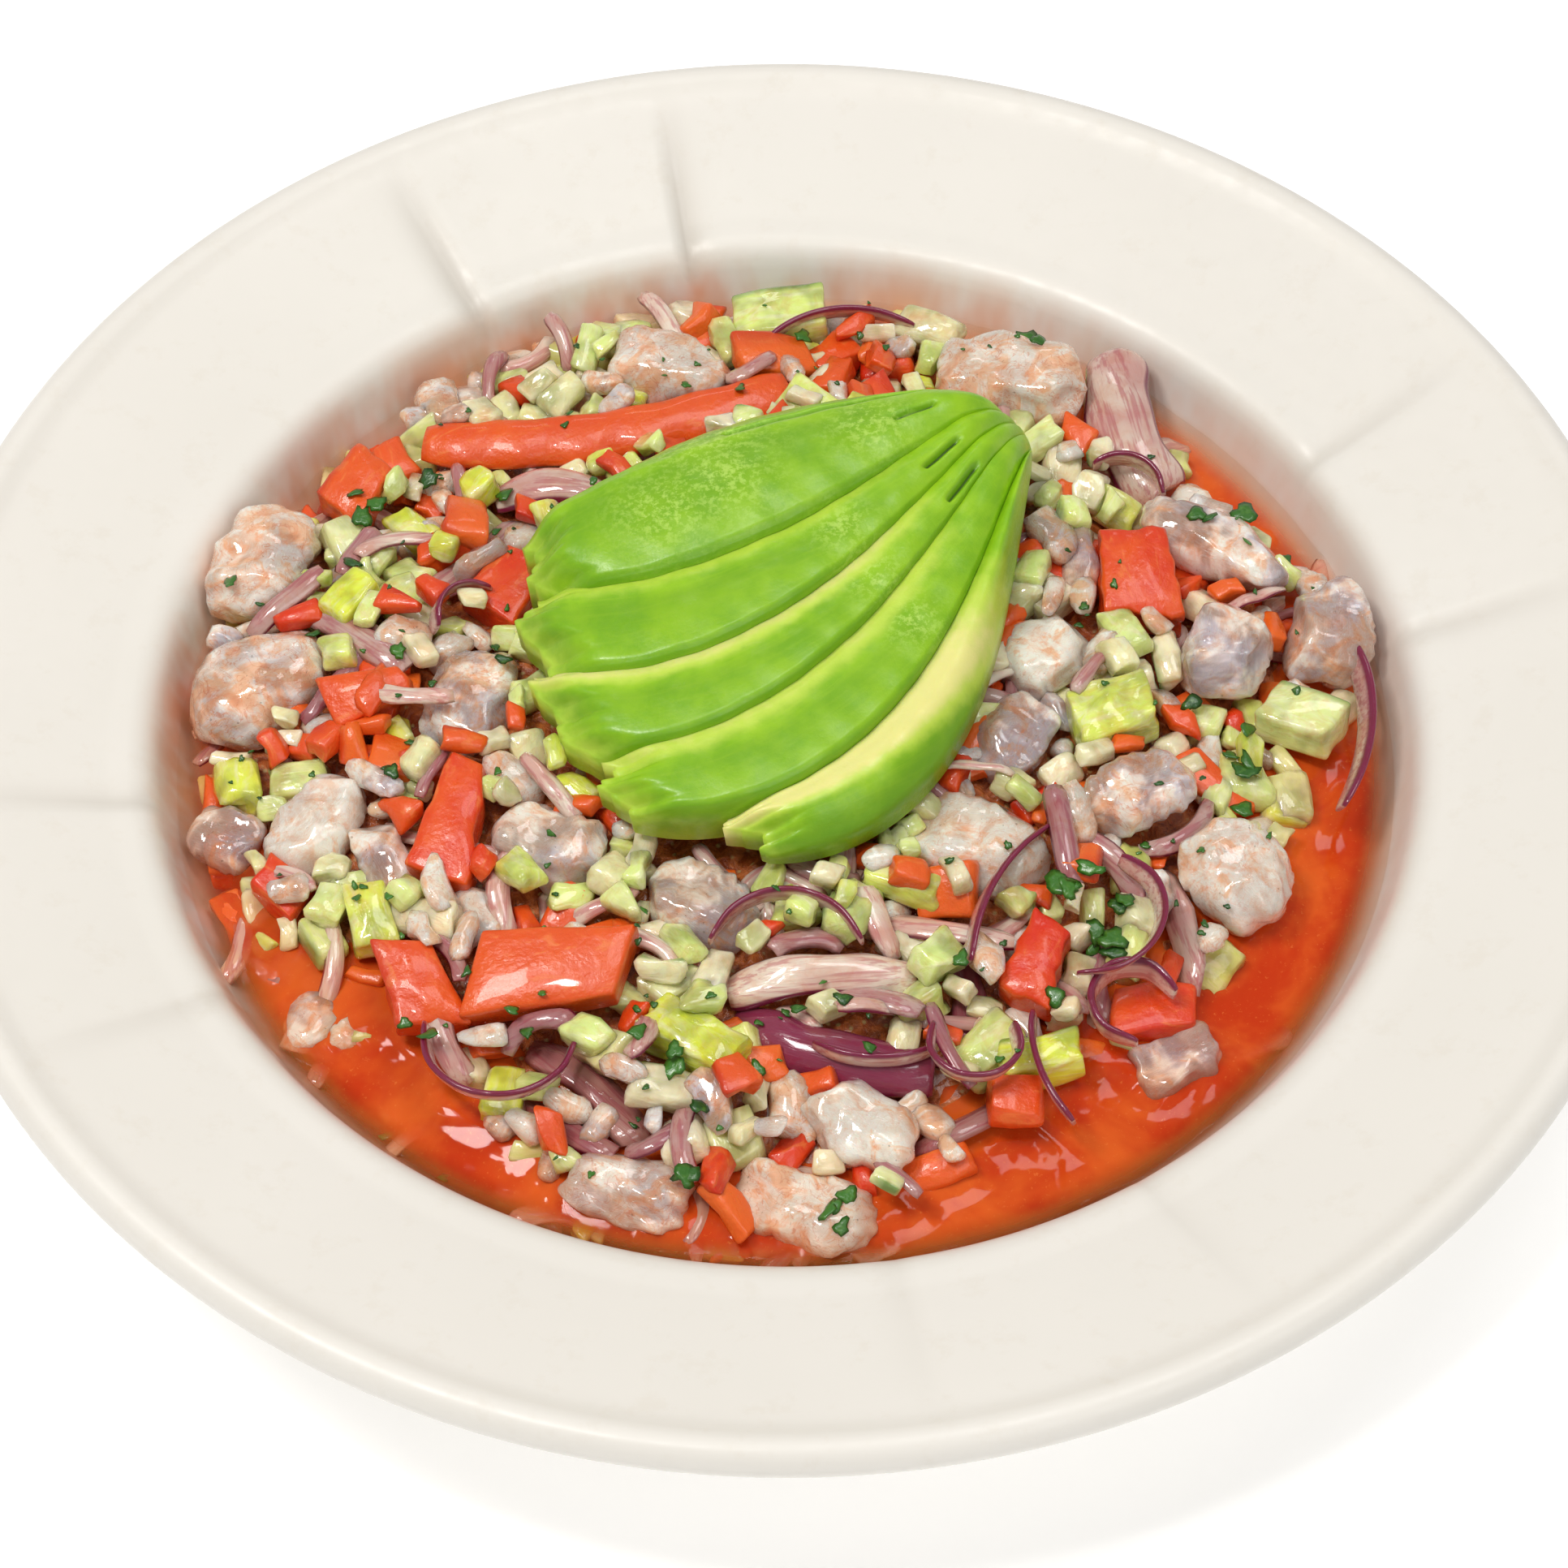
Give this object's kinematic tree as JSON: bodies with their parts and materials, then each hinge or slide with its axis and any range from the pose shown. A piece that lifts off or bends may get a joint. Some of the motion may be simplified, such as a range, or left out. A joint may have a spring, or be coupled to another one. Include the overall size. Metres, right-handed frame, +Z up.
{
  "type": "shrimp ceviche",
  "caption": "Lime-cured shrimp ceviche with diced vegetables in tomato broth, topped with a fanned avocado half, in a wide-rimmed white china pasta bowl.",
  "frame": {"origin": "middle of the bowl's foot, on the surface it stands on", "axes": "+Z up along the bowl's axis, +Y away from the person served, so that the avocado fan opens to the front left"},
  "size_m": [0.292, 0.292, 0.0642],
  "materials": {
    "china": "glossy off-white glaze, a little warm broth stain on the inner wall",
    "broth": "clear orange-red tomato and lime broth, wet and glossy",
    "ceviche_mix": "wet mix of diced cucumber, tomato, onion, shrimp and chopped coriander leaf",
    "avocado": "ripe flesh, green at the outside and pale yellow inside, moist",
    "shrimp": "translucent grey-white lime-cured shrimp with pale pink tints, wet",
    "tomato": "wet red tomato flesh with a smooth skin side",
    "cucumber": "wet pale green cucumber flesh",
    "red_onion": "wet pink-white onion with a purple skin edge"
  },
  "bodies": {
    "root": {"avocado_fan": "avocado", "bowl": "china", "broth": "broth", "ceviche_heap": "ceviche_mix", "cucumber_01": "cucumber", "cucumber_02": "cucumber", "cucumber_03": "cucumber", "cucumber_04": "cucumber", "cucumber_05": "cucumber", "cucumber_06": "cucumber", "onion_01": "red_onion", "onion_02": "red_onion", "onion_03": "red_onion", "onion_04": "red_onion", "shrimp_01": "shrimp", "shrimp_02": "shrimp", "shrimp_03": "shrimp", "shrimp_04": "shrimp", "shrimp_05": "shrimp", "shrimp_06": "shrimp", "shrimp_07": "shrimp", "shrimp_08": "shrimp", "shrimp_09": "shrimp", "shrimp_10": "shrimp", "shrimp_11": "shrimp", "shrimp_12": "shrimp", "shrimp_13": "shrimp", "shrimp_14": "shrimp", "shrimp_15": "shrimp", "shrimp_16": "shrimp", "shrimp_17": "shrimp", "shrimp_18": "shrimp", "shrimp_19": "shrimp", "shrimp_20": "shrimp", "shrimp_21": "shrimp", "shrimp_22": "shrimp", "tomato_01": "tomato", "tomato_02": "tomato", "tomato_03": "tomato", "tomato_04": "tomato", "tomato_05": "tomato", "tomato_06": "tomato", "tomato_07": "tomato", "tomato_strip": "tomato"}
  },
  "joints": []
}
